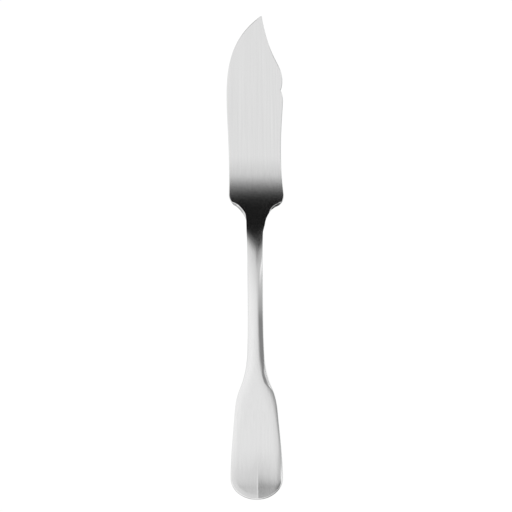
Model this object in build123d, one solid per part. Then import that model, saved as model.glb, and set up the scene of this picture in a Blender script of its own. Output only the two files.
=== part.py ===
from build123d import *
import math
import os

# Fish knife of satin steel: a blade blank and a handle blank, brazed together behind the neck.
# Millimetres. Y runs along the knife towards the point and Z is up from the table.
# While it is being built, Y is 0 where blade and handle meet, and X is 0 on the axis of the handle.

# Lengths along the knife
handle_length = 113.5
neck_length = 15.5
blade_length = 76.2

# Blade seen from above: the edge is on the left, the notched back on the right
edge_reach = 11.5
edge_reach_from_heel = 40.5
edge_heel_reach = 10.9
edge_hollow_reach = 10.3
edge_hollow_from_heel = 20.5
edge_side_arm = 11.2
edge_point_arm = 10.8
back_reach = 12.45
back_heel_reach = 12.45
back_hollow_reach = 10.1
back_hollow_from_heel = 19.7
back_side_arm = 4.7
hump_reach = 12.25
hump_arm = 7.7
notch_from_heel = 44.3
notch_depth = 0.95
notch_run_to_hump = 4.0
notch_run_to_side = 4.3
notch_side_arm = 2.3
point_offset = 3.65
point_sweep = 14.7
point_drop = 10.1
point_back_lean = 3.5
point_back_run = 19.9
point_round = 0.6

# Heel corners, shoulders and neck
shoulder_lean_degrees = 22.0
edge_heel_inset = 2.4
edge_heel_fall = 4.35
edge_heel_arm = 2.0
edge_corner_arm = 0.8
edge_shoulder_arm = 2.3
edge_neck_reach = 3.58
edge_neck_straight = 4.6
edge_neck_arm = 1.0
back_heel_inset = 2.85
back_heel_fall = 4.85
back_heel_arm = 2.7
back_corner_arm = 1.8
back_shoulder_arm = 4.4
back_neck_reach = 4.4
back_neck_straight = 3.3
back_neck_arm = 1.0
joint_half_width = 3.5

# Handle seen from above: half widths, and how fast they grow towards the end
joint_lean = -0.06
stem_half_width = 3.3
stem_from_joint = 15.5
shoulder_start_half_width = 3.6
shoulder_start_from_end = 63.0
shoulder_start_lean = 0.04
shoulder_mid_half_width = 6.95
shoulder_mid_from_end = 47.0
shoulder_mid_lean = 0.42
grip_start_half_width = 9.25
grip_start_from_end = 36.0
grip_start_lean = 0.08
grip_half_width = 11.15
end_round_length = 9.0
end_round_degrees = 84.0

# Side view: heights of the top line above the table, and thicknesses
blade_thickness = 1.8
edge_thickness = 1.1
point_thickness = 1.4
edge_taper_run = 50.0
stem_thickness = 4.2
grip_thickness = 2.6
crest_height = 11.95
end_lift = 3.3
flat_from_heel = 16.9
steepest_before_joint = 6.2
arc_from_joint = 8.6
crest_from_joint = 33.0
rest_from_end = 25.1
thickening_before_heel = 6.0
thickening_past_joint = 13.5
thinning_from_end = 70.0
thinned_from_end = 35.0

# Facets along the top edges of the handle, bevels below, and the crown between the facets
joint_facet = 0.1
stem_facet = 1.6
stem_facet_drop = 0.8
grip_facet = 2.0
grip_facet_drop = 0.3
end_facet = 0.6
end_facet_drop = 0.5
facet_growth = 16.0
facet_narrowing_from_end = 54.0
facet_narrowed_from_end = 43.0
under_bevel = 0.5
joint_crown = 0.05
stem_crown = 0.27
grip_crown = 0.1
ridge_crown = 0.37
ridge_from_end = 22.9
ridge_full_from_end = 5.6
# Halfway in from the facet the crown has risen by this share on a round top, and by this on a ridged roof
round_top_share = 0.75
ridged_top_share = 0.52

# Brazed joint
tang_width = 3.0
tang_thickness = 1.5
tang_length = 14.0
braze_gap = 0.1
tang_root = 2.5

# Spare length of the cutting bodies past the blade
spare = 2.0

# Places along the knife that follow from the lengths
heel_y = neck_length
point_y = heel_y + blade_length
end_y = -handle_length
flat_start_y = heel_y + flat_from_heel
arc_y = -arc_from_joint
crest_y = -crest_from_joint
rest_y = end_y + rest_from_end
tapered_y = heel_y + edge_taper_run
foot_run = (flat_start_y - steepest_before_joint) * 2 / math.pi
foot_turn = (flat_start_y - arc_y) / foot_run
arc_run = arc_y - crest_y
steepest_slope = (crest_height - blade_thickness) / (
    foot_run * (1 - math.cos(foot_turn)) + math.sin(foot_turn) * arc_run / 2)
arc_slope = steepest_slope * math.sin(foot_turn)

# Each shoulder's sizes, in the order in which they are drawn
edge_shoulder = (
    edge_heel_reach, edge_heel_inset, edge_heel_fall, edge_heel_arm, edge_corner_arm,
    edge_shoulder_arm, edge_neck_reach, edge_neck_straight, edge_neck_arm,
)
back_shoulder = (
    back_heel_reach, back_heel_inset, back_heel_fall, back_heel_arm, back_corner_arm,
    back_shoulder_arm, back_neck_reach, back_neck_straight, back_neck_arm,
)


def ease(value, start, finish):
    share = min(max((value - start) / (finish - start), 0.0), 1.0)
    return share * share * (3 - 2 * share)


def blend(first, second, share):
    return first + (second - first) * share


def from_end(y):
    return y - end_y


def top_height(y):
    # flat blade, a rise through the neck, an even arc over the stem, a wave down to the grip, a turned-up end
    if y >= flat_start_y:
        return blade_thickness
    if y >= arc_y:
        turn = (flat_start_y - y) / foot_run
        return blade_thickness + steepest_slope * foot_run * (1 - math.cos(turn))
    if y >= crest_y:
        return crest_height - arc_slope * (y - crest_y) ** 2 / (2 * arc_run)
    if y >= rest_y:
        turn = math.pi * (crest_y - y) / (crest_y - rest_y)
        return blend(crest_height, grip_thickness, (1 - math.cos(turn)) / 2)
    turn = math.pi / 2 * (rest_y - y) / rest_from_end
    return grip_thickness + end_lift * (1 - math.cos(turn))


def thickness(y):
    grown = ease(-y, -(heel_y + thickening_before_heel), thickening_past_joint)
    thinned = ease(-from_end(y), -thinning_from_end, -thinned_from_end)
    return blend(blend(blade_thickness, stem_thickness, grown), grip_thickness, thinned)


def underside(y):
    return top_height(y) - thickness(y)


def middle_height(y):
    return top_height(y) - thickness(y) / 2


def curve_point(controls, share):
    # a point of the Bezier curve, found by halving its control lines
    points = [Vector(*control) for control in controls]
    while len(points) > 1:
        points = [a + (b - a) * share for a, b in zip(points, points[1:])]
    return points[0]


def shoulder_curves(side, sizes):
    # from the heel round the corner and in to the neck, on one side of the axis
    heel_reach, inset, fall, heel_arm, corner_arm, shoulder_arm, neck_reach, neck_straight, neck_arm = sizes
    lean = math.radians(shoulder_lean_degrees)
    inward = Vector(-side * math.cos(lean), -math.sin(lean))
    heel = Vector(side * heel_reach, heel_y)
    corner = Vector(side * (heel_reach - inset), heel_y - fall)
    neck = Vector(side * neck_reach, neck_straight)
    joint = Vector(side * joint_half_width, 0)
    return [
        Bezier(heel, heel - Vector(0, heel_arm), corner - inward * corner_arm, corner),
        Bezier(corner, corner + inward * shoulder_arm, neck + Vector(0, neck_arm), neck),
        Line(neck, joint),
        Line(joint, joint - Vector(0, spare)),
    ]


def blade_outline():
    point = Vector(point_offset, point_y)
    sweep = point + Vector(-point_sweep, -point_drop)
    back_run = point + Vector(point_back_lean, -point_back_run)
    edge_start = point + (sweep - point).normalized() * point_round
    back_start = point + (back_run - point).normalized() * point_round
    widest = Vector(-edge_reach, heel_y + edge_reach_from_heel)
    edge_heel = Vector(-edge_heel_reach, heel_y)
    edge_hollow = Vector(-edge_hollow_reach, heel_y + edge_hollow_from_heel)
    notch = Vector(back_reach - notch_depth, heel_y + notch_from_heel)
    hump = Vector(hump_reach, notch.Y + notch_run_to_hump)
    side = Vector(back_reach, notch.Y - notch_run_to_side)
    back_hollow = Vector(back_hollow_reach, heel_y + back_hollow_from_heel)
    back_heel = Vector(back_heel_reach, heel_y)
    edge = [
        Bezier(edge_start, sweep, widest + Vector(0, edge_point_arm), widest),
        Bezier(widest, widest - Vector(0, edge_side_arm), edge_hollow, edge_heel),
    ]
    back = [
        Bezier(back_start, back_run, hump + Vector(0, hump_arm), hump),
        Bezier(hump, hump - Vector(0, notch_side_arm), notch),
        Bezier(notch, side + Vector(0, notch_side_arm), side),
        Bezier(side, side - Vector(0, back_side_arm), back_hollow, back_heel),
    ]
    rounding = Bezier(edge_start, point, back_start)
    foot = Line((-joint_half_width, -spare), (joint_half_width, -spare))
    edges = edge + shoulder_curves(-1, edge_shoulder) + back + shoulder_curves(1, back_shoulder)
    return make_face(edges + [rounding, foot])


def blade_slice(y, low, edge_top, back_top):
    left = -(edge_reach + spare)
    right = back_reach + spare
    corners = [(left, y, low), (right, y, low), (right, y, back_top), (left, y, edge_top)]
    return Face(Wire.make_polygon([Vector(*corner) for corner in corners], close=True))


def edge_taper(y):
    return (blade_thickness - edge_thickness) * ease(y, heel_y, tapered_y)


def cranked_slice(y):
    return blade_slice(y, underside(y), top_height(y) - edge_taper(y), top_height(y))


def flat_slice(y):
    along = (y - flat_start_y) / (point_y + spare - flat_start_y)
    back_top = blend(blade_thickness, point_thickness, along)
    return blade_slice(y, 0, back_top - edge_taper(y), back_top)


def make_blade():
    steps = 8
    cranked = loft([cranked_slice(flat_start_y * i / steps) for i in range(steps + 1)])
    tapering = loft([flat_slice(blend(flat_start_y, tapered_y, i / steps)) for i in range(steps + 1)])
    pointed = loft([flat_slice(tapered_y), flat_slice(point_y + spare)], ruled=True)
    slab = cranked + tapering + pointed
    upright = extrude(Pos(0, 0, -spare) * blade_outline(), crest_height + 2 * spare, dir=(0, 0, 1))
    return slab & upright


def width_curve(first, second):
    # a cubic curve between two half widths, each with its place and its growth towards the end
    first_half, first_y, first_lean = first
    second_half, second_y, second_lean = second
    arm = (first_y - second_y) / 3
    return [
        (first_half, first_y),
        (first_half + first_lean * arm, first_y - arm),
        (second_half - second_lean * arm, second_y + arm),
        (second_half, second_y),
    ]


def handle_stations():
    # places along the handle with the half width there, from the joint to the rounded end
    joint = (joint_half_width, 0, joint_lean)
    stem = (stem_half_width, -stem_from_joint, 0)
    start = (shoulder_start_half_width, end_y + shoulder_start_from_end, shoulder_start_lean)
    mid = (shoulder_mid_half_width, end_y + shoulder_mid_from_end, shoulder_mid_lean)
    grip = (grip_start_half_width, end_y + grip_start_from_end, grip_start_lean)
    round_start = (grip_half_width, end_y + end_round_length, 0)
    stretches = ((joint, stem, 6), (stem, start, 4), (start, mid, 5), (mid, grip, 4), (grip, round_start, 4))
    places = [Vector(joint_half_width, 0)]
    for first, second, steps in stretches:
        controls = width_curve(first, second)
        places += [curve_point(controls, (i + 1) / steps) for i in range(steps)]
    round_steps = 5
    for i in range(round_steps):
        turn = math.radians(end_round_degrees * (i + 1) / round_steps)
        round_y = end_y + end_round_length * (1 - math.sin(turn))
        places.append(Vector(grip_half_width * math.cos(turn), round_y))
    return places


def handle_section(place):
    half, y = place.X, place.Y
    growth = ease(-y, 0, facet_growth)
    narrowing = ease(-from_end(y), -facet_narrowing_from_end, -facet_narrowed_from_end)
    ridge = ease(-from_end(y), -ridge_from_end, -ridge_full_from_end)
    closing = ease(-from_end(y), -end_round_length, 0)
    facet = blend(blend(blend(joint_facet, stem_facet, growth), grip_facet, narrowing), end_facet, closing)
    drop = blend(
        blend(blend(joint_facet, stem_facet_drop, growth), grip_facet_drop, narrowing), end_facet_drop, closing)
    bevel = blend(joint_facet, under_bevel, growth)
    crown = blend(blend(blend(joint_crown, stem_crown, growth), grip_crown, narrowing), ridge_crown, ridge)
    halfway_share = blend(round_top_share, ridged_top_share, ridge)
    high = top_height(y)
    low = underside(y)
    crease = high - crown
    halfway = (half - facet) / 2

    def at(x, z):
        return Vector(x, y, z)

    def top_arc(side):
        return ThreePointArc(
            at(side * (half - facet), crease), at(side * halfway, crease + crown * halfway_share), at(0, high))

    def flank(side):
        return [
            Line(at(side * (half - bevel), low), at(side * half, low + bevel)),
            Line(at(side * half, low + bevel), at(side * half, crease - drop)),
            Line(at(side * half, crease - drop), at(side * (half - facet), crease)),
        ]

    floor = Line(at(-(half - bevel), low), at(half - bevel, low))
    return Face(Wire([floor] + flank(1) + [top_arc(1), top_arc(-1)] + flank(-1)))


def tang_block(clearance):
    # a bar from inside the neck back into the stem, following the slope of the stem's middle
    root = Vector(0, 0, middle_height(0))
    tip = Vector(0, -tang_length, middle_height(-tang_length))
    back = (tip - root).normalized()
    start = Plane(origin=root - back * tang_root, x_dir=(1, 0, 0), z_dir=back)
    profile = Rectangle(tang_width + 2 * clearance, tang_thickness + 2 * clearance)
    return extrude(start * profile, tang_root + tang_length + clearance)


handle_blank = loft([handle_section(place) for place in handle_stations()])
tang = tang_block(0)
socket = tang_block(braze_gap)

blade = make_blade() + tang
handle = handle_blank - socket
braze_filler = (socket & handle_blank) - tang

# The finished knife stands on the table with the middle of its outline over the origin
box = Compound([blade, handle]).bounding_box()
place = Pos(-box.center().X, -box.center().Y, -box.min.Z)

os.makedirs("parts", exist_ok=True)
for name, piece in (("blade", blade), ("handle", handle), ("braze_filler", braze_filler)):
    export_step(place * piece, "parts/" + name + ".step")
    print(name, "volume", round(piece.volume, 2), "mm3")
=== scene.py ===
import math

import bmesh
import bpy
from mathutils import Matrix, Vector


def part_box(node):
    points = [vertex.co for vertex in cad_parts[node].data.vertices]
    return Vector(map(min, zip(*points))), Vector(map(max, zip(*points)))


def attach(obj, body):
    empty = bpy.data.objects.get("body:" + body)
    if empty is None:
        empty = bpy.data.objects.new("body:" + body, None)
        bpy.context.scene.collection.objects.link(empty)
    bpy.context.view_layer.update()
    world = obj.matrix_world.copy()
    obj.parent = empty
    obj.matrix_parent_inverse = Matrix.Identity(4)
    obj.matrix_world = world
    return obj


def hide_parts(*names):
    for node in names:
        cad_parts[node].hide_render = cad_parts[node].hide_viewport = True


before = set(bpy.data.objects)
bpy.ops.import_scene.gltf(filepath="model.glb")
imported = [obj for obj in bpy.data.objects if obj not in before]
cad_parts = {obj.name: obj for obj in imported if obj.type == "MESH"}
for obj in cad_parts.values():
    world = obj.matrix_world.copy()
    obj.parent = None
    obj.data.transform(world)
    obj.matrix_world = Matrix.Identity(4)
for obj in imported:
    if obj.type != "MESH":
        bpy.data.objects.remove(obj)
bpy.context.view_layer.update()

scene = bpy.context.scene
perMetre = 1000  # millimetres in a metre

# Places read from the frame; every shape below is in millimetres from where blade and handle meet
handleLow, handleHigh = (Vector(corner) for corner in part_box("handle"))
axisX = (handleLow.x + handleHigh.x) / 2  # the handle is even about its axis
jointY = handleHigh.y
handleLength = (handleHigh.y - handleLow.y) * perMetre
tableZ = 0.0

sideView = {  # heights of the top line and thicknesses along the knife, mm
    "neckLength": 15.5,
    "bladeLength": 76.2,
    "bladeThickness": 1.8,
    "edgeThickness": 1.1,
    "pointThickness": 1.4,
    "taperRun": 50.0,
    "stemThickness": 4.2,
    "gripThickness": 2.6,
    "crestHeight": 11.95,
    "endLift": 3.3,
    "flatFromHeel": 16.9,
    "steepestBeforeJoint": 6.2,
    "arcFromJoint": 8.6,
    "crestFromJoint": 33.0,
    "restFromEnd": 25.1,
    "thickeningBeforeHeel": 6.0,
    "thickeningPastJoint": 13.5,
    "thinningFromEnd": 70.0,
    "thinnedFromEnd": 35.0,
}
heelY = sideView["neckLength"]
pointY = heelY + sideView["bladeLength"]
endY = -handleLength
flatStartY = heelY + sideView["flatFromHeel"]
arcY = -sideView["arcFromJoint"]
crestY = -sideView["crestFromJoint"]
restY = endY + sideView["restFromEnd"]
footRun = (flatStartY - sideView["steepestBeforeJoint"]) * 2 / math.pi
footTurn = (flatStartY - arcY) / footRun
arcRun = arcY - crestY
steepestSlope = (sideView["crestHeight"] - sideView["bladeThickness"]) / (
    footRun * (1 - math.cos(footTurn)) + math.sin(footTurn) * arcRun / 2)
arcSlope = steepestSlope * math.sin(footTurn)


def ease(value, start, finish):  # a smooth 0 to 1, upwards or downwards
    share = min(max((value - start) / (finish - start), 0.0), 1.0)
    return share * share * (3 - 2 * share)


def blend(first, second, share):
    return first + (second - first) * share


def fromEnd(y):
    return y - endY


# Flat blade, rise through the neck, even arc over the stem, wave down to the grip, turned-up end
def topHeight(y):
    if y >= flatStartY:
        return sideView["bladeThickness"]
    if y >= arcY:
        turn = (flatStartY - y) / footRun
        return sideView["bladeThickness"] + steepestSlope * footRun * (1 - math.cos(turn))
    if y >= crestY:
        return sideView["crestHeight"] - arcSlope * (y - crestY) ** 2 / (2 * arcRun)
    if y >= restY:
        turn = math.pi * (crestY - y) / (crestY - restY)
        return blend(sideView["crestHeight"], sideView["gripThickness"], (1 - math.cos(turn)) / 2)
    turn = math.pi / 2 * (restY - y) / sideView["restFromEnd"]
    return sideView["gripThickness"] + sideView["endLift"] * (1 - math.cos(turn))


def thickness(y):
    grown = ease(y, heelY + sideView["thickeningBeforeHeel"], -sideView["thickeningPastJoint"])
    thinned = ease(fromEnd(y), sideView["thinningFromEnd"], sideView["thinnedFromEnd"])
    unthinned = blend(sideView["bladeThickness"], sideView["stemThickness"], grown)
    return blend(unthinned, sideView["gripThickness"], thinned)


def underside(y):
    return topHeight(y) - thickness(y)


def middleHeight(y):
    return topHeight(y) - thickness(y) / 2


def toFrame(x, y, z):
    return Vector((axisX + x / perMetre, jointY + y / perMetre, tableZ + z / perMetre))


def addObject(name, data):
    made = bpy.data.objects.new(name, data)
    bpy.context.collection.objects.link(made)
    return made


def curvePoint(controls, share):  # a point of a Bezier curve
    points = [Vector(control) for control in controls]
    while len(points) > 1:
        points = [a.lerp(b, share) for a, b in zip(points, points[1:])]
    return points[0]


def curvePoints(curves, steps):
    points = [curvePoint(curves[0], 0)]
    for controls in curves:
        points += [curvePoint(controls, (i + 1) / steps) for i in range(steps)]
    return points


def outlineNormals(points):  # outward, for points (reach, y) that run from the knife's point to its end
    normals = []
    last = len(points) - 1
    for i in range(len(points)):
        along = points[min(i + 1, last)] - points[max(i - 1, 0)]
        normals.append(Vector((-along.y, along.x)).normalized())
    return normals


rimShape = {  # profile of the rim, mm: bevel on top, bevel below, and how round their corners are
    "bladeBevel": 0.22,
    "heelBevel": 0.26,
    "heelBevelFrom": 14.0,
    "heelBevelFull": 3.0,
    "neckBevel": 0.03,
    "shoulderBevel": 0.95,
    "shoulderDrop": 0.8,
    "shoulderFrom": 12.6,
    "shoulderFull": 11.4,
    "edgeShoulderFading": 8.2,
    "edgeShoulderGone": 4.6,
    "backShoulderFading": 10.8,
    "backShoulderGone": 7.4,
    "stemBevel": 0.2,
    "stemBevelFrom": 6.0,
    "stemBevelFull": 14.0,
    "flareBevel": 1.65,
    "flareDrop": 0.75,
    "flareFromEnd": 63.0,
    "flareFullFromEnd": 52.0,
    "flareFadingFromEnd": 51.0,
    "flareGoneFromEnd": 45.5,
    "edgeFlareShare": 0.1,
    "backFlareShare": 1.0,
    "endBevel": 0.45,
    "endRun": 30.0,
    "bladeUnder": 0.25,
    "handleUnder": 0.5,
    "underRun": 10.0,
    "cornerShare": 0.42,
    "shoulderCornerShare": 0.1,
    "lead": 0.1,
    "cornerSteps": 4,
}


def roundedCorner(before, corner, after, radius, steps):  # points with their wear and painted highlight, most in the middle
    start = corner + (before - corner).normalized() * radius
    finish = corner + (after - corner).normalized() * radius
    points = []
    for i in range(steps + 1):
        share = i / steps
        points.append((curvePoint((start, corner, finish), share), 1 - abs(2 * share - 1)))
    return points


# Width, drop and corner share: thin on the blade, real bevels on the shoulders and where the grip flares
def rimBevel(y, side):
    shape = rimShape
    heel = ease(y, heelY + shape["heelBevelFrom"], heelY + shape["heelBevelFull"])
    neck = ease(y, shape[side + "ShoulderFading"], shape[side + "ShoulderGone"])
    width = blend(blend(shape["bladeBevel"], shape["heelBevel"], heel), shape["neckBevel"], neck)
    width = blend(width, shape["stemBevel"], ease(-y, shape["stemBevelFrom"], shape["stemBevelFull"]))
    width = blend(width, shape["endBevel"], ease(fromEnd(y), shape["endRun"], 0))
    flare = ease(fromEnd(y), shape["flareFromEnd"], shape["flareFullFromEnd"])
    flare *= 1 - ease(fromEnd(y), shape["flareFadingFromEnd"], shape["flareGoneFromEnd"])
    flare *= shape[side + "FlareShare"]
    shoulder = ease(y, shape["shoulderFrom"], shape["shoulderFull"]) * (1 - neck)
    drop = blend(blend(width, shape["flareDrop"], flare), shape["shoulderDrop"], shoulder)
    width = blend(blend(width, shape["flareBevel"], flare), shape["shoulderBevel"], shoulder)
    return width, drop, blend(shape["cornerShare"], shape["shoulderCornerShare"], shoulder)


def rimProfile(y, side):  # points of the rim as (inset, drop from the top, rise from the bottom, wear and painted highlight)
    shape = rimShape
    steps, lead = shape["cornerSteps"], shape["lead"]
    inward, along = Vector((1, 0)), Vector((0, 1))
    width, drop, cornerShare = rimBevel(y, side)
    upperRound = math.hypot(width, drop) * cornerShare
    crease, brow = Vector((width, 0)), Vector((0, drop))  # where the bevel meets the top and the side
    upper = [(Vector((width + upperRound + lead, 0)), 0.0)]
    upper += roundedCorner(crease + inward, crease, brow, upperRound, steps)
    upper += roundedCorner(crease, brow, brow + along, upperRound, steps)
    bevel = blend(shape["bladeUnder"], shape["handleUnder"], ease(-y, 0, shape["underRun"]))
    lowerRound = bevel / 2
    sill, foot = Vector((0, bevel)), Vector((bevel, 0))  # where the lower bevel meets the side and the bottom
    lower = roundedCorner(sill + along, sill, foot, lowerRound, steps)
    lower += roundedCorner(sill, foot, foot + inward, lowerRound, steps)
    lower += [(Vector((bevel + lowerRound + lead, 0)), 0.0)]
    points = [(p.x, p.y, None, wearAndHighlight) for p, wearAndHighlight in upper]
    return points + [(p.x, None, p.y, wearAndHighlight) for p, wearAndHighlight in lower]


# The rim on one way out from the axis, -1 or 1, from the top face to the bottom
def rimPoints(way, reach, y, normal, profile, shrink, halfWidth, topAt, lowAt):
    points = []
    for inset, drop, rise, wearAndHighlight in profile:
        x = way * (reach - normal.x * inset * shrink)
        yHere = y - normal.y * inset * shrink
        if rise is None:
            z = topAt(x, yHere, 1 - inset * shrink / halfWidth) - drop * shrink
        else:
            z = lowAt(yHere) + rise * shrink
        points.append((x, yHere, z, wearAndHighlight))
    return points


def rowBetween(first, last, columns, heightAt):  # points across a face, without its two ends
    row = []
    for i in range(1, columns):
        share = i / columns
        x, y = blend(first[0], last[0], share), blend(first[1], last[1], share)
        row.append((x, y, heightAt(x, y, abs(2 * share - 1)), 0.0))
    return row


tipMerge = 2e-6  # metres: nearer points in the last two rings become one


def pairsRound(ring):  # each point with the next one, and the last with the first
    return zip(ring, ring[1:] + ring[:1])


# Skins the rings, and closes the first one round the tang or its socket
def solidFromRings(name, rings, barMouth, barEnd):
    bm = bmesh.new()
    # the corners' wear and painted highlight, kept on each vertex
    wearAndHighlightLayer = bm.verts.layers.float.new("wearAndHighlight")
    grid = []
    for ring in rings:
        line = []
        for x, y, z, wearAndHighlight in ring:
            vert = bm.verts.new(toFrame(x, y, z))
            vert[wearAndHighlightLayer] = wearAndHighlight
            line.append(vert)
        grid.append(line)
    for line, following in zip(grid, grid[1:]):
        for (a, b), (c, d) in zip(pairsRound(line), pairsRound(following)):
            bm.faces.new((a, b, d, c)).smooth = True
    mouth = [bm.verts.new(toFrame(*corner)) for corner in barMouth]
    end = [bm.verts.new(toFrame(*corner)) for corner in barEnd]
    bm.faces.new(end)
    for (a, b), (c, d) in zip(pairsRound(mouth), pairsRound(end)):
        bm.faces.new((a, b, d, c))
    seam = [bm.edges.get(pair) for pair in pairsRound(grid[0])]
    for edge in seam:
        edge.smooth = False
    opening = [bm.edges.get(pair) for pair in pairsRound(mouth)]
    bmesh.ops.triangle_fill(bm, use_beauty=True, use_dissolve=False, edges=seam + opening)
    bmesh.ops.remove_doubles(bm, verts=grid[-1] + grid[-2], dist=tipMerge)
    bmesh.ops.recalc_face_normals(bm, faces=bm.faces)
    mesh = bpy.data.meshes.new(name)
    bm.to_mesh(mesh)
    bm.free()
    return addObject(name, mesh)


crossShape = {  # how the top falls to its rim: by how much, mm, from which share of the half width, how late
    "neckFrom": 3.15,
    "stemFrom": 23.2,
    "stemFall": 0.98,
    "stemPower": 2.0,
    "flatteningFromEnd": 60.3,
    "gripFromEnd": 27.4,
    "gripFall": 0.4,
    "gripPower": 2.65,
    "gripFlat": 0.64,
    "endFromEnd": 10.0,
    "edgeEndFall": 0.33,
    "backEndFall": 0.64,
    "edgeEndPower": 1.35,
    "backEndPower": 1.6,
    "edgeEndFlat": 0.79,
    "backEndFlat": 0.755,
    "edgeEndBack": 0.15,  # share of the fall that is left where the rim faces back
    "backEndBack": 0.0,
    "edgeTurn": 2.0,  # how fast it is lost as the rim turns back
    "backTurn": 8.0,
    "endRelief": 0.07,
    "reliefFromEnd": 5.5,
}


def ridgeFall(x, y):  # two hollow slopes beside the ridge line of the grip
    shape = handleShape
    grown = ease(fromEnd(y), shape["ridgeFromEnd"], shape["ridgeFullFromEnd"])
    aside = 1 - min(abs(x - shape["ridgeOffset"]) / shape["gripHalfWidth"], 1.0)
    hollow = shape["ridgeHollow"]
    roof = 1 - aside * (1 + hollow * aside) / (1 + hollow)
    return shape["ridge"] * grown * roof


# The share is 0 in the middle and 1 at the rim, and facing is 1 where the rim looks sideways, 0 where back
def crossFall(x, y, share, facing=1.0):
    shape = crossShape
    grown = ease(y, shape["neckFrom"], -shape["stemFrom"])
    if grown == 0.0:
        return 0.0
    side = "back" if x > 0 else "edge"
    flatter = ease(fromEnd(y), shape["flatteningFromEnd"], shape["gripFromEnd"])
    closer = ease(fromEnd(y), shape["gripFromEnd"], shape["endFromEnd"])
    fall = blend(shape["stemFall"] * grown, shape["gripFall"], flatter)
    fall = blend(fall, shape[side + "EndFall"], closer)
    power = blend(shape["stemPower"], shape["gripPower"], flatter)
    power = blend(power, shape[side + "EndPower"], closer)
    flat = blend(shape["gripFlat"] * flatter, shape[side + "EndFlat"], closer)
    turned = blend(shape[side + "EndBack"], 1.0, facing ** shape[side + "Turn"])
    rolled = fall * turned * (max(share - flat, 0.0) / (1 - flat)) ** power
    relief = shape["endRelief"] * max(1 - fromEnd(y) / shape["reliefFromEnd"], 0.0) ** 2
    return rolled + relief + ridgeFall(x, y)


brazedBar = {"width": 3.0, "thickness": 1.5, "length": 14.0, "gap": 0.1}  # tang of the blade, mm


def barCorners(clearance):  # where the bar crosses the joint, and its end inside the stem
    root = Vector((0, 0, middleHeight(0)))
    tip = Vector((0, -brazedBar["length"], middleHeight(-brazedBar["length"])))
    back = (tip - root).normalized()
    up = Vector((0, back.z, -back.y))
    half = brazedBar["width"] / 2 + clearance
    rise = brazedBar["thickness"] / 2 + clearance
    end = root + back * (brazedBar["length"] + clearance)
    square = ((-1, -1), (1, -1), (1, 1), (-1, 1))
    mouth = [(sx * half, 0.0, root.z + sz * rise / -back.y) for sx, sz in square]
    inner = [tuple(end + Vector((sx * half, 0, 0)) + up * (sz * rise)) for sx, sz in square]
    return mouth, inner


bladeShape = {  # seen from above, mm: the edge is on the left, the notched back on the right
    "edgeReach": 11.5,
    "edgeReachFromHeel": 40.5,
    "edgeHeelReach": 10.9,
    "edgeHollowReach": 10.3,
    "edgeHollowFromHeel": 20.5,
    "edgeSideArm": 11.2,
    "edgePointArm": 10.8,
    "backReach": 12.45,
    "backHeelReach": 12.45,
    "backHollowReach": 10.1,
    "backHollowFromHeel": 19.7,
    "backSideArm": 4.7,
    "humpReach": 12.25,
    "humpArm": 7.7,
    "notchFromHeel": 44.3,
    "notchDepth": 0.95,
    "notchRunToHump": 4.0,
    "notchRunToSide": 4.3,
    "notchSideArm": 2.3,
    "pointOffset": 3.65,
    "pointSweep": 14.7,
    "pointDrop": 10.1,
    "pointBackLean": 3.5,
    "pointBackRun": 19.9,
    "pointRound": 0.6,
    "edgeHeelInset": 2.4,
    "edgeHeelFall": 4.35,
    "edgeHeelArm": 2.0,
    "edgeCornerArm": 0.8,
    "edgeShoulderArm": 2.3,
    "edgeNeckReach": 3.58,
    "edgeNeckStraight": 4.6,
    "edgeNeckArm": 1.0,
    "backHeelInset": 2.85,
    "backHeelFall": 4.85,
    "backHeelArm": 2.7,
    "backCornerArm": 1.8,
    "backShoulderArm": 4.4,
    "backNeckReach": 4.4,
    "backNeckStraight": 3.3,
    "backNeckArm": 1.0,
    "shoulderLean": math.radians(22),
    "jointHalfWidth": 3.5,
    "spare": 2.0,  # the tapers run this far past the outline
    "fullRimWidth": 3.0,  # the rim shrinks where the point is narrower than this
    "leastWidth": 0.01,
    "tipSteps": 24,
    "sideSteps": 60,
    "shoulderSteps": 40,
    "rowStretches": (  # rows up to here from the joint, and how far apart
        (3.5, 0.35), (17.0, 0.16), (54.0, 0.75), (65.0, 0.2), (90.0, 0.5)),
    "tipRows": 14,
    "columns": 28,
}


def shoulderCurves(side):  # from the heel round the corner and in to the neck, as (reach, y)
    def given(name):
        return bladeShape[side + name]

    lean = bladeShape["shoulderLean"]
    inward = Vector((-math.cos(lean), -math.sin(lean)))
    heel = Vector((given("HeelReach"), heelY))
    corner = heel - Vector((given("HeelInset"), given("HeelFall")))
    neck = Vector((given("NeckReach"), given("NeckStraight")))
    joint = Vector((bladeShape["jointHalfWidth"], 0))
    return [
        (heel, heel - Vector((0, given("HeelArm"))), corner - inward * given("CornerArm"), corner),
        (corner, corner + inward * given("ShoulderArm"), neck + Vector((0, given("NeckArm"))), neck),
        (neck, joint),
    ]


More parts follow.
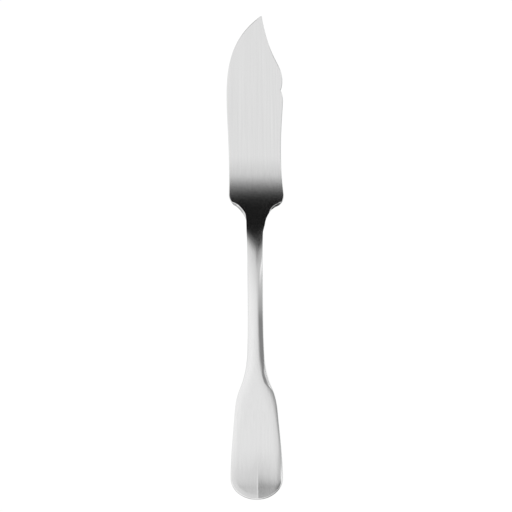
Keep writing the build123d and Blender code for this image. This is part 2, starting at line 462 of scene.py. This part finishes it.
def bladeSides():  # the two sides from the point to the joint, as points (reach, y)
    shape = bladeShape
    point = Vector((shape["pointOffset"], pointY))
    sweep = point + Vector((-shape["pointSweep"], -shape["pointDrop"]))
    backRun = point + Vector((shape["pointBackLean"], -shape["pointBackRun"]))
    edgeStart = point + (sweep - point).normalized() * shape["pointRound"]
    backStart = point + (backRun - point).normalized() * shape["pointRound"]
    widest = Vector((-shape["edgeReach"], heelY + shape["edgeReachFromHeel"]))
    edgeHeel = Vector((-shape["edgeHeelReach"], heelY))
    edgeHollow = Vector((-shape["edgeHollowReach"], heelY + shape["edgeHollowFromHeel"]))
    notch = Vector((shape["backReach"] - shape["notchDepth"], heelY + shape["notchFromHeel"]))
    hump = Vector((shape["humpReach"], notch.y + shape["notchRunToHump"]))
    side = Vector((shape["backReach"], notch.y - shape["notchRunToSide"]))
    backHollow = Vector((shape["backHollowReach"], heelY + shape["backHollowFromHeel"]))
    backHeel = Vector((shape["backHeelReach"], heelY))

    def up(arm):
        return Vector((0, shape[arm]))

    edge = [
        (edgeStart, sweep, widest + up("edgePointArm"), widest),
        (widest, widest - up("edgeSideArm"), edgeHollow, edgeHeel),
    ]
    back = [
        (backStart, backRun, hump + up("humpArm"), hump),
        (hump, hump - up("notchSideArm"), notch),
        (notch, side + up("notchSideArm"), side),
        (side, side - up("backSideArm"), backHollow, backHeel),
    ]
    tipCurve = curvePoints([(edgeStart, point, backStart)], shape["tipSteps"])
    top = max(range(len(tipCurve)), key=lambda i: tipCurve[i].y)
    edgeSide = tipCurve[top::-1] + curvePoints(edge, shape["sideSteps"])[1:]
    edgeSide = [Vector((-p.x, p.y)) for p in edgeSide]  # reach counts outward on both sides
    backSide = tipCurve[top:] + curvePoints(back, shape["sideSteps"])[1:]
    edgeSide += curvePoints(shoulderCurves("edge"), shape["shoulderSteps"])[1:]
    backSide += curvePoints(shoulderCurves("back"), shape["shoulderSteps"])[1:]
    return edgeSide, backSide


def sideAt(points, normals, y):  # reach and outward normal of a side at y
    low, high = 0, len(points) - 1
    while high - low > 1:
        middle = (low + high) // 2
        if points[middle].y > y:
            low = middle
        else:
            high = middle
    run = points[low].y - points[high].y
    share = (points[low].y - y) / run if run else 0.0
    share = min(max(share, 0.0), 1.0)
    normal = normals[low].lerp(normals[high], share).normalized()
    return blend(points[low].x, points[high].x, share), normal


# The back is thicker than the edge, the heel thicker than the point, and the neck is rounded
def bladeTop(x, y, _):
    left = -(bladeShape["edgeReach"] + bladeShape["spare"])
    right = bladeShape["backReach"] + bladeShape["spare"]
    thinned = ease(y, heelY, heelY + sideView["taperRun"])
    taper = (sideView["bladeThickness"] - sideView["edgeThickness"]) * thinned
    high = topHeight(y)
    if y > flatStartY:
        along = (y - flatStartY) / (pointY + bladeShape["spare"] - flatStartY)
        high = blend(sideView["bladeThickness"], sideView["pointThickness"], along)
    neckShare = min(abs(x) / bladeShape["jointHalfWidth"], 1.0)
    return high - taper * (right - x) / (right - left) - crossFall(x, y, neckShare)


def bladeLow(y):
    return 0.0 if y >= flatStartY else underside(y)


def bladeRows(tipY):  # closer together at the shoulders, the notch and the point
    rows, low = [], 0.0
    for high, step in bladeShape["rowStretches"]:
        count = round((high - low) / step)
        rows += [low + (high - low) * i / count for i in range(count)]
        low = high
    closing = bladeShape["tipRows"]
    return rows + [tipY - (tipY - low) * (1 - i / closing) ** 2 for i in range(closing + 1)]


def makeBlade():
    edgeSide, backSide = bladeSides()
    edgeNormals, backNormals = outlineNormals(edgeSide), outlineNormals(backSide)
    columns = bladeShape["columns"]
    rings = []
    for y in bladeRows(backSide[0].y):
        edgeReach, edgeNormal = sideAt(edgeSide, edgeNormals, y)
        backReach, backNormal = sideAt(backSide, backNormals, y)
        width = edgeReach + backReach
        shrink = min(1.0, width / bladeShape["fullRimWidth"])
        width = max(width, bladeShape["leastWidth"])
        edgeRim, backRim = rimProfile(y, "edge"), rimProfile(y, "back")
        left = rimPoints(-1, edgeReach, y, edgeNormal, edgeRim, shrink, width, bladeTop, bladeLow)
        right = rimPoints(1, backReach, y, backNormal, backRim, shrink, width, bladeTop, bladeLow)
        top = rowBetween(left[0], right[0], columns, bladeTop)
        bottom = rowBetween(right[-1], left[-1], columns, lambda x, yHere, _: bladeLow(yHere))
        rings.append(left[::-1] + top + right + bottom)
    mouth, end = barCorners(0)
    return solidFromRings("knife_blade", rings, mouth, end)


handleShape = {  # half widths seen from above, mm, and how fast they grow towards the end
    "stemHalfWidth": 3.3,
    "jointLean": -0.06,
    "stemFromJoint": 15.5,
    "startHalfWidth": 3.6,
    "startFromEnd": 63.0,
    "startLean": 0.04,
    "midHalfWidth": 6.95,
    "midFromEnd": 47.0,
    "midLean": 0.42,
    "gripStartHalfWidth": 9.25,
    "gripStartFromEnd": 36.0,
    "gripStartLean": 0.08,
    "gripHalfWidth": 11.15,
    "roundLength": 9.0,
    "ridge": 0.41,
    "ridgeFromEnd": 22.9,
    "ridgeFullFromEnd": 5.6,
    "ridgeHollow": 0.8,
    "ridgeOffset": 0.45,
    "rollShare": 0.4,
    "rollLead": 0.2,
    "rollSteps": 14,
    "stretchSteps": (48, 30, 32, 24, 36),  # rings from each station to the next
    "roundSteps": 44,
    "columns": 32,
}


def widthCurve(first, second):  # between two stations (half width, y, lean)
    arm = (first[1] - second[1]) / 3
    return [
        (first[0], first[1]),
        (first[0] + first[2] * arm, first[1] - arm),
        (second[0] - second[2] * arm, second[1] + arm),
        (second[0], second[1]),
    ]


def handleSide():  # one side from the joint to the middle of the rounded end
    shape = handleShape
    stations = [
        (bladeShape["jointHalfWidth"], 0.0, shape["jointLean"]),
        (shape["stemHalfWidth"], -shape["stemFromJoint"], 0.0),
        (shape["startHalfWidth"], endY + shape["startFromEnd"], shape["startLean"]),
        (shape["midHalfWidth"], endY + shape["midFromEnd"], shape["midLean"]),
        (shape["gripStartHalfWidth"], endY + shape["gripStartFromEnd"], shape["gripStartLean"]),
        (shape["gripHalfWidth"], endY + shape["roundLength"], 0.0),
    ]
    points = [Vector((stations[0][0], stations[0][1]))]
    for first, second, steps in zip(stations, stations[1:], shape["stretchSteps"]):
        points += curvePoints([widthCurve(first, second)], steps)[1:]
    for i in range(shape["roundSteps"]):
        turn = math.pi / 2 * (i + 1) / shape["roundSteps"]
        reach = shape["gripHalfWidth"] * math.cos(turn)
        points.append(Vector((reach, endY + shape["roundLength"] * (1 - math.sin(turn)))))
    points[-1].x = 0.0
    return points


def makeHandle():
    outline = handleSide()
    normals = outlineNormals(outline)
    normals[-1] = Vector((0, -1))
    steps, columns = handleShape["rollSteps"], handleShape["columns"]
    rings = []
    for point, normal in zip(outline, normals):
        rounding = point.y < endY + handleShape["roundLength"]
        halfWidth = handleShape["gripHalfWidth"] if rounding else point.x
        rims = [rimProfile(point.y, side) for side in ("edge", "back")]
        bevels = max(rim[0][0] for rim in rims) + handleShape["rollLead"]
        roll = max(halfWidth * handleShape["rollShare"], bevels)
        inner = 1 - roll / halfWidth

        def topAt(x, y, share):
            return topHeight(y) - crossFall(x, y, share, normal.x if rounding else 1.0)

        def innerTop(x, y, share):
            return topAt(x, y, share * inner)

        sides = []
        for way, rim in zip((-1, 1), rims):
            rolled = [(blend(roll, rim[0][0], i / steps), 0.0, None, 0.0) for i in range(steps)]
            profile = rolled + rim
            sides.append(rimPoints(way, point.x, point.y, normal, profile, 1.0, halfWidth, topAt, underside))
        left, right = sides
        top = rowBetween(left[0], right[0], columns, innerTop)
        bottom = rowBetween(right[-1], left[-1], columns, lambda x, y, _: underside(y))
        rings.append(left[::-1] + top + right + bottom)
    mouth, end = barCorners(brazedBar["gap"])
    return solidFromRings("knife_handle", rings, mouth, end)


def newNode(tree, kind, inputs=None, **settings):
    made = tree.nodes.new(kind)
    for key, value in settings.items():
        setattr(made, key, value)
    for key, value in (inputs or {}).items():
        if isinstance(value, bpy.types.NodeSocket):
            tree.links.new(value, made.inputs[key])
        else:
            made.inputs[key].default_value = value
    return made


def groupNode(tree, group, **inputs):
    return newNode(tree, "ShaderNodeGroup", inputs, node_tree=group).outputs


def mathNode(tree, operation, first, second=0.0):
    return newNode(tree, "ShaderNodeMath", {0: first, 1: second}, operation=operation).outputs[0]


def rangeNode(tree, value, fromMin, fromMax, toMin, toMax, smooth=False):
    return newNode(tree, "ShaderNodeMapRange", {
        "Value": value, "From Min": fromMin, "From Max": fromMax, "To Min": toMin, "To Max": toMax,
    }, interpolation_type="SMOOTHSTEP" if smooth else "LINEAR").outputs["Result"]


def mixValue(tree, share, first, second):  # a Mix node takes numbers in sockets 2 and 3
    return newNode(tree, "ShaderNodeMix", {"Factor": share, 2: first, 3: second}).outputs[0]


def mixColour(tree, share, first, second):  # and colours in sockets 6 and 7
    return newNode(tree, "ShaderNodeMix", {"Factor": share, 6: first, 7: second}, data_type="RGBA").outputs[2]


def opaque(colour):
    return (*colour, 1.0)


def newMaterial(name):
    material = bpy.data.materials.new(name)
    material.use_nodes = True
    material.node_tree.nodes.clear()
    return material, material.node_tree


def newGroup(name, inputs, outputs):
    group = bpy.data.node_groups.new(name, "ShaderNodeTree")
    for label, kind, default in inputs:
        socket = group.interface.new_socket(name=label, in_out="INPUT", socket_type=kind)
        if default is not None:
            socket.default_value = default
    for label in outputs:
        group.interface.new_socket(name=label, in_out="OUTPUT", socket_type="NodeSocketFloat")
    return group, group.nodes.new("NodeGroupInput").outputs, group.nodes.new("NodeGroupOutput").inputs


grainLook = {  # broad streaks, and hair lines that are so many times finer
    "finer": 3.3, "streakDetail": 4.0, "hairDetail": 2.0, "noiseRoughness": 0.6, "streakShare": 0.55,
}


def brushGrainGroup():  # lines left by brushing along the knife
    group, given, result = newGroup("brushGrain", [
        ("Position", "NodeSocketVector", None),
        ("Across", "NodeSocketFloat", 1500.0),
        ("Along", "NodeSocketFloat", 25.0),
    ], ["Streak", "Hair", "Height"])
    lines = []
    for factor, detail in ((1.0, grainLook["streakDetail"]), (grainLook["finer"], grainLook["hairDetail"])):
        across = mathNode(group, "MULTIPLY", given["Across"], factor)
        along = mathNode(group, "MULTIPLY", given["Along"], factor)
        stretch = newNode(group, "ShaderNodeCombineXYZ", {"X": across, "Y": along, "Z": across}).outputs[0]
        place = newNode(group, "ShaderNodeVectorMath", {
            0: given["Position"], 1: stretch}, operation="MULTIPLY").outputs[0]
        noise = newNode(group, "ShaderNodeTexNoise", {
            "Vector": place, "Scale": 1.0, "Detail": detail, "Roughness": grainLook["noiseRoughness"]})
        lines.append(noise.outputs["Fac"])
    streak, hair = lines
    height = mathNode(group, "ADD", mathNode(group, "MULTIPLY", streak, grainLook["streakShare"]),
                      mathNode(group, "MULTIPLY", hair, 1 - grainLook["streakShare"]))
    for label, value in (("Streak", streak), ("Hair", hair), ("Height", height)):
        group.links.new(value, result[label])
    return group


rimLook = {"scale": 420.0, "detail": 3.0, "span": (0.3, 0.65), "least": 0.45}  # breaks in the rim's polish and painted highlight


def edgeWearGroup():  # polish and a painted highlight on the rims, broken up so that it isn't a drawn line
    group, given, result = newGroup("edgeWear", [
        ("Position", "NodeSocketVector", None),
        ("Rim", "NodeSocketFloat", 0.0),
        ("Strength", "NodeSocketFloat", 0.7),
    ], ["Wear"])
    noise = newNode(group, "ShaderNodeTexNoise", {
        "Vector": given["Position"], "Scale": rimLook["scale"], "Detail": rimLook["detail"]})
    broken = rangeNode(group, noise.outputs["Fac"], *rimLook["span"], rimLook["least"], 1.0)
    wearAndHighlight = mathNode(group, "MULTIPLY", mathNode(group, "MULTIPLY", given["Rim"], broken), given["Strength"])
    group.links.new(wearAndHighlight, result["Wear"])
    return group


smearLook = {"stretch": (1.0, 0.45, 1.0), "detail": 3.0, "noiseRoughness": 0.5}  # longer along the knife


def handlingGroup():  # faint cloudy smears from washing and wiping, a few centimetres across
    group, given, result = newGroup("handling", [
        ("Position", "NodeSocketVector", None),
        ("Scale", "NodeSocketFloat", 60.0),
    ], ["Smear"])
    place = newNode(group, "ShaderNodeVectorMath", {
        0: given["Position"], 1: smearLook["stretch"]}, operation="MULTIPLY").outputs[0]
    noise = newNode(group, "ShaderNodeTexNoise", {
        "Vector": place, "Scale": given["Scale"],
        "Detail": smearLook["detail"], "Roughness": smearLook["noiseRoughness"]})
    group.links.new(noise.outputs["Fac"], result["Smear"])
    return group


brushGrain = brushGrainGroup()
edgeWear = edgeWearGroup()
handling = handlingGroup()


def satinSteel(name, look):
    material, tree = newMaterial(name)
    place = tree.nodes.new("ShaderNodeTexCoord").outputs["Object"]
    grain = groupNode(tree, brushGrain, Position=place, Across=look["across"], Along=look["along"])
    smear = groupNode(tree, handling, Position=place, Scale=look["smearScale"])["Smear"]
    rim = newNode(tree, "ShaderNodeAttribute", attribute_name="wearAndHighlight").outputs["Fac"]
    wearAndHighlight = groupNode(tree, edgeWear, Position=place, Rim=rim, Strength=look["rimWearAndHighlightStrength"])["Wear"]
    streak = rangeNode(tree, grain["Streak"], *look["streakSpan"], 0.0, 1.0)
    shade = mixColour(tree, streak, opaque(look["dark"]), opaque(look["light"]))
    # rims painted lighter than the steel: their wear, and a painted highlight along them
    colour = mixColour(tree, wearAndHighlight, shade, opaque(look["edge"]))
    rough = rangeNode(tree, grain["Hair"], *look["hairSpan"], look["smooth"], look["rough"])
    cloud = rangeNode(tree, smear, *look["smearSpan"], -look["smear"], look["smear"])
    smeared = mathNode(tree, "ADD", rough, cloud)
    polished = mathNode(tree, "SUBTRACT", smeared, mathNode(tree, "MULTIPLY", wearAndHighlight, look["polish"]))
    bump = newNode(tree, "ShaderNodeBump", {
        "Strength": look["bump"], "Distance": look["bumpDepth"], "Height": grain["Height"]})
    steel = newNode(tree, "ShaderNodeBsdfPrincipled", {
        "Base Color": colour, "Roughness": polished, "Normal": bump.outputs["Normal"], "Metallic": 1.0})
    newNode(tree, "ShaderNodeOutputMaterial", {"Surface": steel.outputs["BSDF"]})
    return material


bladeLook = {  # satin blade, brushed along its length
    "across": 1500.0, "along": 22.0, "smearScale": 55.0, "smear": 0.012,
    # edge is the rims' colour, lighter than the steel: wear and a painted highlight
    "dark": (0.715, 0.715, 0.715), "light": (0.755, 0.755, 0.755), "edge": (0.92, 0.92, 0.92),
    "streakSpan": (0.3, 0.7), "hairSpan": (0.25, 0.75), "smearSpan": (0.35, 0.65),
    "smooth": 0.085, "rough": 0.13, "polish": 0.03, "rimWearAndHighlightStrength": 0.7,
    "bump": 0.6, "bumpDepth": 0.00003,
}
handleLook = dict(bladeLook, across=1350.0, along=18.0, dark=(0.73, 0.73, 0.73), light=(0.765, 0.765, 0.765))


brazeLook = {  # pale brazing metal inside the joint
    "dark": (0.70, 0.66, 0.54), "light": (0.82, 0.78, 0.66),
    "scale": 900.0, "detail": 3.0, "span": (0.3, 0.7), "smooth": 0.35, "rough": 0.55,
}


def brazeMetal():
    material, tree = newMaterial("braze_metal")
    place = tree.nodes.new("ShaderNodeTexCoord").outputs["Object"]
    noise = newNode(tree, "ShaderNodeTexNoise", {
        "Vector": place, "Scale": brazeLook["scale"], "Detail": brazeLook["detail"]}).outputs["Fac"]
    colour = mixColour(tree, noise, opaque(brazeLook["dark"]), opaque(brazeLook["light"]))
    rough = rangeNode(tree, noise, *brazeLook["span"], brazeLook["smooth"], brazeLook["rough"])
    metal = newNode(tree, "ShaderNodeBsdfPrincipled", {
        "Base Color": colour, "Roughness": rough, "Metallic": 1.0})
    newNode(tree, "ShaderNodeOutputMaterial", {"Surface": metal.outputs["BSDF"]})
    return material


def dress(piece, material, slotName, *nodes):
    piece.data.materials.clear()
    piece.data.materials.append(material)
    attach(piece, "root")
    if nodes:
        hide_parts(*nodes)


bladeSteel = satinSteel("satin_blade_steel", bladeLook)
handleSteel = satinSteel("satin_handle_steel", handleLook)

blade = makeBlade()
dress(blade, bladeSteel, "satin_blade", "blade")
print("blade:", len(blade.data.polygons), "faces")

handle = makeHandle()
dress(handle, handleSteel, "satin_handle", "handle")
print("handle:", len(handle.data.polygons), "faces")

ribShape = {  # mm: a low rib with a sloped left flank and an upright right one
    "fromEnd": 16.0,
    "toEnd": 0.8,
    "height": 0.2,
    "flankWidth": 0.5,
    "wallLean": 0.03,
    "depth": 0.5,
    "rounding": 0.02,
    "roundSteps": 4,
    "fade": 0.45,  # it grows over this share of its length, from this share of its size
    "startShare": 0.12,
    "points": 40,
}


def ribTree():  # a four-sided section drawn along the ridge line
    tree = bpy.data.node_groups.new("ridgeRib", "GeometryNodeTree")
    tree.interface.new_socket(name="Geometry", in_out="INPUT", socket_type="NodeSocketGeometry")
    for label in ("Flank foot", "Top", "Wall foot", "Root"):
        tree.interface.new_socket(name=label, in_out="INPUT", socket_type="NodeSocketVector")
    for label in ("Fade", "Rounding"):
        tree.interface.new_socket(name=label, in_out="INPUT", socket_type="NodeSocketFloat")
    tree.interface.new_socket(name="Material", in_out="INPUT", socket_type="NodeSocketMaterial")
    tree.interface.new_socket(name="Geometry", in_out="OUTPUT", socket_type="NodeSocketGeometry")
    given = tree.nodes.new("NodeGroupInput").outputs
    result = tree.nodes.new("NodeGroupOutput").inputs
    path = newNode(tree, "GeometryNodeMeshToCurve", {"Mesh": given["Geometry"]}).outputs["Curve"]
    along = tree.nodes.new("GeometryNodeSplineParameter").outputs["Factor"]
    taper = rangeNode(tree, along, 0.0, given["Fade"], ribShape["startShare"], 1.0, True)
    section = newNode(tree, "GeometryNodeCurvePrimitiveQuadrilateral", {
        "Point 1": given["Root"], "Point 2": given["Wall foot"], "Point 3": given["Top"],
        "Point 4": given["Flank foot"]}, mode="POINTS").outputs["Curve"]
    rounded = newNode(tree, "GeometryNodeFilletCurve", {
        "Curve": section, "Count": ribShape["roundSteps"], "Radius": given["Rounding"], "Limit Radius": True,
    }, mode="POLY").outputs["Curve"]
    tube = newNode(tree, "GeometryNodeCurveToMesh", {
        "Curve": path, "Profile Curve": rounded, "Scale": taper, "Fill Caps": True}).outputs["Mesh"]
    flat = newNode(tree, "GeometryNodeSetShadeSmooth", {
        "Geometry": tube, "Shade Smooth": False}).outputs["Geometry"]
    solid = newNode(tree, "GeometryNodeRealizeInstances", {"Geometry": flat}).outputs["Geometry"]
    done = newNode(tree, "GeometryNodeSetMaterial", {"Geometry": solid, "Material": given["Material"]})
    tree.links.new(done.outputs["Geometry"], result["Geometry"])
    return tree


def makeRib():
    path = bpy.data.meshes.new("rib_path")
    count = ribShape["points"]
    points = []
    for i in range(count):
        y = endY + blend(ribShape["fromEnd"], ribShape["toEnd"], i / (count - 1))
        x = handleShape["ridgeOffset"]
        points.append(toFrame(x, y, topHeight(y) - crossFall(x, y, 0.0)))
    path.from_pydata(points, [(i, i + 1) for i in range(count - 1)], [])
    carrier = addObject("rib_carrier", path)
    modifier = carrier.modifiers.new("rib", "NODES")
    modifier.node_group = ribTree()
    corners = {  # across and up; the section's own axes point left and down
        "Flank foot": (-ribShape["flankWidth"], -ribShape["height"] / 3),
        "Top": (0.0, ribShape["height"]),
        "Wall foot": (ribShape["wallLean"], -ribShape["depth"] / 2),
        "Root": (-ribShape["flankWidth"] / 2, -ribShape["depth"]),
    }
    values = {name: (-across / perMetre, -up / perMetre, 0.0) for name, (across, up) in corners.items()}
    values["Fade"] = ribShape["fade"]
    values["Rounding"] = ribShape["rounding"] / perMetre
    values["Material"] = handleSteel
    for item in modifier.node_group.interface.items_tree:
        if item.in_out == "INPUT" and item.name in values:
            modifier[item.identifier] = values[item.name]
    shown = carrier.evaluated_get(bpy.context.evaluated_depsgraph_get())
    mesh = bpy.data.meshes.new_from_object(shown)
    mesh.name = "handle_rib"
    bpy.data.objects.remove(carrier)
    bpy.data.meshes.remove(path)
    return addObject("handle_rib", mesh)


rib = makeRib()
dress(rib, handleSteel, "satin_handle")
print("rib:", len(rib.data.polygons), "faces")

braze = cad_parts["braze_filler"]  # inside the joint, so its solid is kept as it is
braze.data.materials.clear()
braze.data.materials.append(brazeMetal())
print("braze filler:", len(braze.data.polygons), "faces")

floorLook = {"size": 8.0, "glow": 0.96, "albedo": 0.1}  # metres across


def makeFloor():
    half = floorLook["size"] / 2
    corners = [(-half, -half), (half, -half), (half, half), (-half, half)]
    mesh = bpy.data.meshes.new("floor")
    mesh.from_pydata([(x, y, tableZ) for x, y in corners], [], [(0, 1, 2, 3)])
    floor = addObject("floor", mesh)
    material, tree = newMaterial("pale_floor")
    path = tree.nodes.new("ShaderNodeLightPath").outputs
    mirrored = mathNode(tree, "MAXIMUM", path["Is Glossy Ray"], path["Is Transmission Ray"])
    seen = mathNode(tree, "MAXIMUM", path["Is Camera Ray"], mirrored)
    glow = newNode(tree, "ShaderNodeEmission", {
        "Color": (1, 1, 1, 1), "Strength": mathNode(tree, "MULTIPLY", seen, floorLook["glow"])})
    matte = newNode(tree, "ShaderNodeBsdfDiffuse", {"Color": opaque([floorLook["albedo"]] * 3)})
    both = newNode(tree, "ShaderNodeAddShader", {0: glow.outputs[0], 1: matte.outputs[0]})
    newNode(tree, "ShaderNodeOutputMaterial", {"Surface": both.outputs[0]})
    mesh.materials.append(material)


studio = {  # levels of the light tent, and the spans of direction over which it goes from one to the next
    "level": 1.0,
    "leftGain": 0.105,
    "leftSpan": (0.05, -0.5),
    "rightFall": 0.86,
    "rightSpan": (0.0, 0.36),
    "pointward": 0.79,
    "pointSpan": (0.0, 0.37),
    "sideLevel": 0.64,
    "sideSpan": (0.26, 0.54),
    "rearLevel": 0.295,
    "sideRearSpan": (-0.14, 0.14),
    "stripLevel": 1.35,  # a strip light at the far right, towards the point
    "stripSpan": (0.5, 0.66),
    "stripPointSpan": (0.095, 0.2),
    "cardLevel": 0.008,  # a dark card beyond the point
    "beyondLevel": 0.45,
    "cardSpan": (0.27, 0.48),
    "cardLowSpan": (0.5, 0.38),
    "leftSlant": 0.15,
    "leftSlantEnd": -0.18,
    "rightSlant": 0.42,
    "rightSlantEnd": 0.16,
    "stripCardSpan": (0.3, 0.44),
    "leftCardSpan": (0.32, 0.57),
    "leftCardSide": (-0.35, -0.6),
    "leftHorizon": 0.88,
    "rightHorizon": 0.04,
    "lowHorizon": 0.5,
    "stripHorizon": 0.85,
    "rearHorizon": 0.5,
    "rearSpan": (-0.54, -0.64),
    "rearRightSide": (0.15, 0.35),
    "rearLeftSide": (-0.15, -0.35),
    "leftRearSpan": (-0.16, -0.38),
    "lowRearSpan": (-0.5, -0.62),
    "lowSpan": (0.38, 0.31),
    "stripRearSpan": (-0.36, -0.22),
    "stripLowSpan": (0.02, 0.12),
    "horizonSpan": (0.46, 0.36),
    "horizonSides": (-0.3, 0.3),
}


def makeStudio():
    world = bpy.data.worlds.new("light_tent")
    scene.world = world
    world.use_nodes = True
    tree = world.node_tree
    tree.nodes.clear()
    direction = tree.nodes.new("ShaderNodeTexCoord").outputs["Generated"]
    axes = newNode(tree, "ShaderNodeSeparateXYZ", {"Vector": direction}).outputs
    dx, dy, dz = axes["X"], axes["Y"], axes["Z"]  # right, towards the point, up

    def ramp(value, span):
        return rangeNode(tree, value, *studio[span], 0.0, 1.0, True)

    def mixed(share, first, second):
        return mixValue(tree, share, first, second)

    def times(first, second):
        return mathNode(tree, "MULTIPLY", first, second)

    def clamped(value, least, most):
        return newNode(tree, "ShaderNodeClamp", {"Value": value, "Min": least, "Max": most}).outputs[0]

    brightest = studio["level"] + studio["leftGain"]
    tent = rangeNode(tree, dx, *studio["leftSpan"], studio["level"], brightest, True)
    tent = times(tent, rangeNode(tree, dx, *studio["rightSpan"], 1.0, studio["rightFall"]))
    tent = times(tent, rangeNode(tree, dy, *studio["pointSpan"], 1.0, studio["pointward"], True))
    side = rangeNode(tree, dy, *studio["sideRearSpan"], studio["rearLevel"], studio["sideLevel"], True)
    strip = ramp(dx, "stripSpan")
    side = mixed(times(strip, ramp(dy, "stripPointSpan")), side, studio["stripLevel"])
    tent = mixed(ramp(dx, "sideSpan"), tent, side)

    leftward = times(clamped(dx, studio["leftSlantEnd"], 0.0), studio["leftSlant"])
    rightward = times(clamped(dx, 0.0, studio["rightSlantEnd"]), studio["rightSlant"])
    slant = mathNode(tree, "ADD", leftward, rightward)
    card = ramp(mathNode(tree, "ADD", dy, slant), "cardSpan")
    card = mixed(strip, card, ramp(dy, "stripCardSpan"))
    card = mixed(ramp(dx, "leftCardSide"), card, ramp(dy, "leftCardSpan"))
    cardLevel = mixed(ramp(dz, "cardLowSpan"), studio["cardLevel"], studio["beyondLevel"])
    tent = mixed(card, tent, cardLevel)

    rear = ramp(dy, "rearSpan")
    tent = mixed(times(rear, ramp(dx, "rearRightSide")), tent, studio["rightHorizon"])
    tent = mixed(times(rear, ramp(dx, "rearLeftSide")), tent, studio["rearHorizon"])
    left = rangeNode(tree, dy, *studio["leftRearSpan"], studio["leftHorizon"], studio["rearHorizon"], True)
    low = times(ramp(dy, "lowRearSpan"), ramp(dz, "lowSpan"))
    right = mixed(low, studio["rightHorizon"], studio["lowHorizon"])
    stripLow = times(ramp(dy, "stripRearSpan"), ramp(dz, "stripLowSpan"))
    right = mixed(stripLow, right, studio["stripHorizon"])
    horizon = mixed(ramp(dx, "horizonSides"), left, right)
    level = mixed(ramp(dz, "horizonSpan"), tent, horizon)

    light = newNode(tree, "ShaderNodeBackground", {"Color": (1, 1, 1, 1), "Strength": level})
    white = newNode(tree, "ShaderNodeBackground", {"Color": (1, 1, 1, 1), "Strength": 1.0})
    seen = tree.nodes.new("ShaderNodeLightPath").outputs["Is Camera Ray"]
    sky = newNode(tree, "ShaderNodeMixShader", {0: seen, 1: light.outputs[0], 2: white.outputs[0]})
    newNode(tree, "ShaderNodeOutputWorld", {"Surface": sky.outputs[0]})


cameraSetup = {  # straight above, metres; the knife leans by half a degree in the picture
    "lens": 300.0, "sensor": 36.0, "pictureWidth": 0.2169, "planeHeight": 0.002,
    "targetX": -0.00004, "targetY": 0.00074, "lean": -0.00826, "clipStart": 0.01,
}


def makeCamera():
    data = bpy.data.cameras.new("camera")
    data.lens = cameraSetup["lens"]
    data.sensor_width = cameraSetup["sensor"]
    data.clip_start = cameraSetup["clipStart"]
    distance = cameraSetup["pictureWidth"] * cameraSetup["lens"] / cameraSetup["sensor"]
    camera = addObject("camera", data)
    camera.location = (cameraSetup["targetX"], cameraSetup["targetY"], cameraSetup["planeHeight"] + distance)
    camera.rotation_euler = (0.0, 0.0, cameraSetup["lean"])
    scene.camera = camera


scene.view_settings.view_transform = "Standard"
makeFloor()
makeStudio()
makeCamera()
print("studio ready")
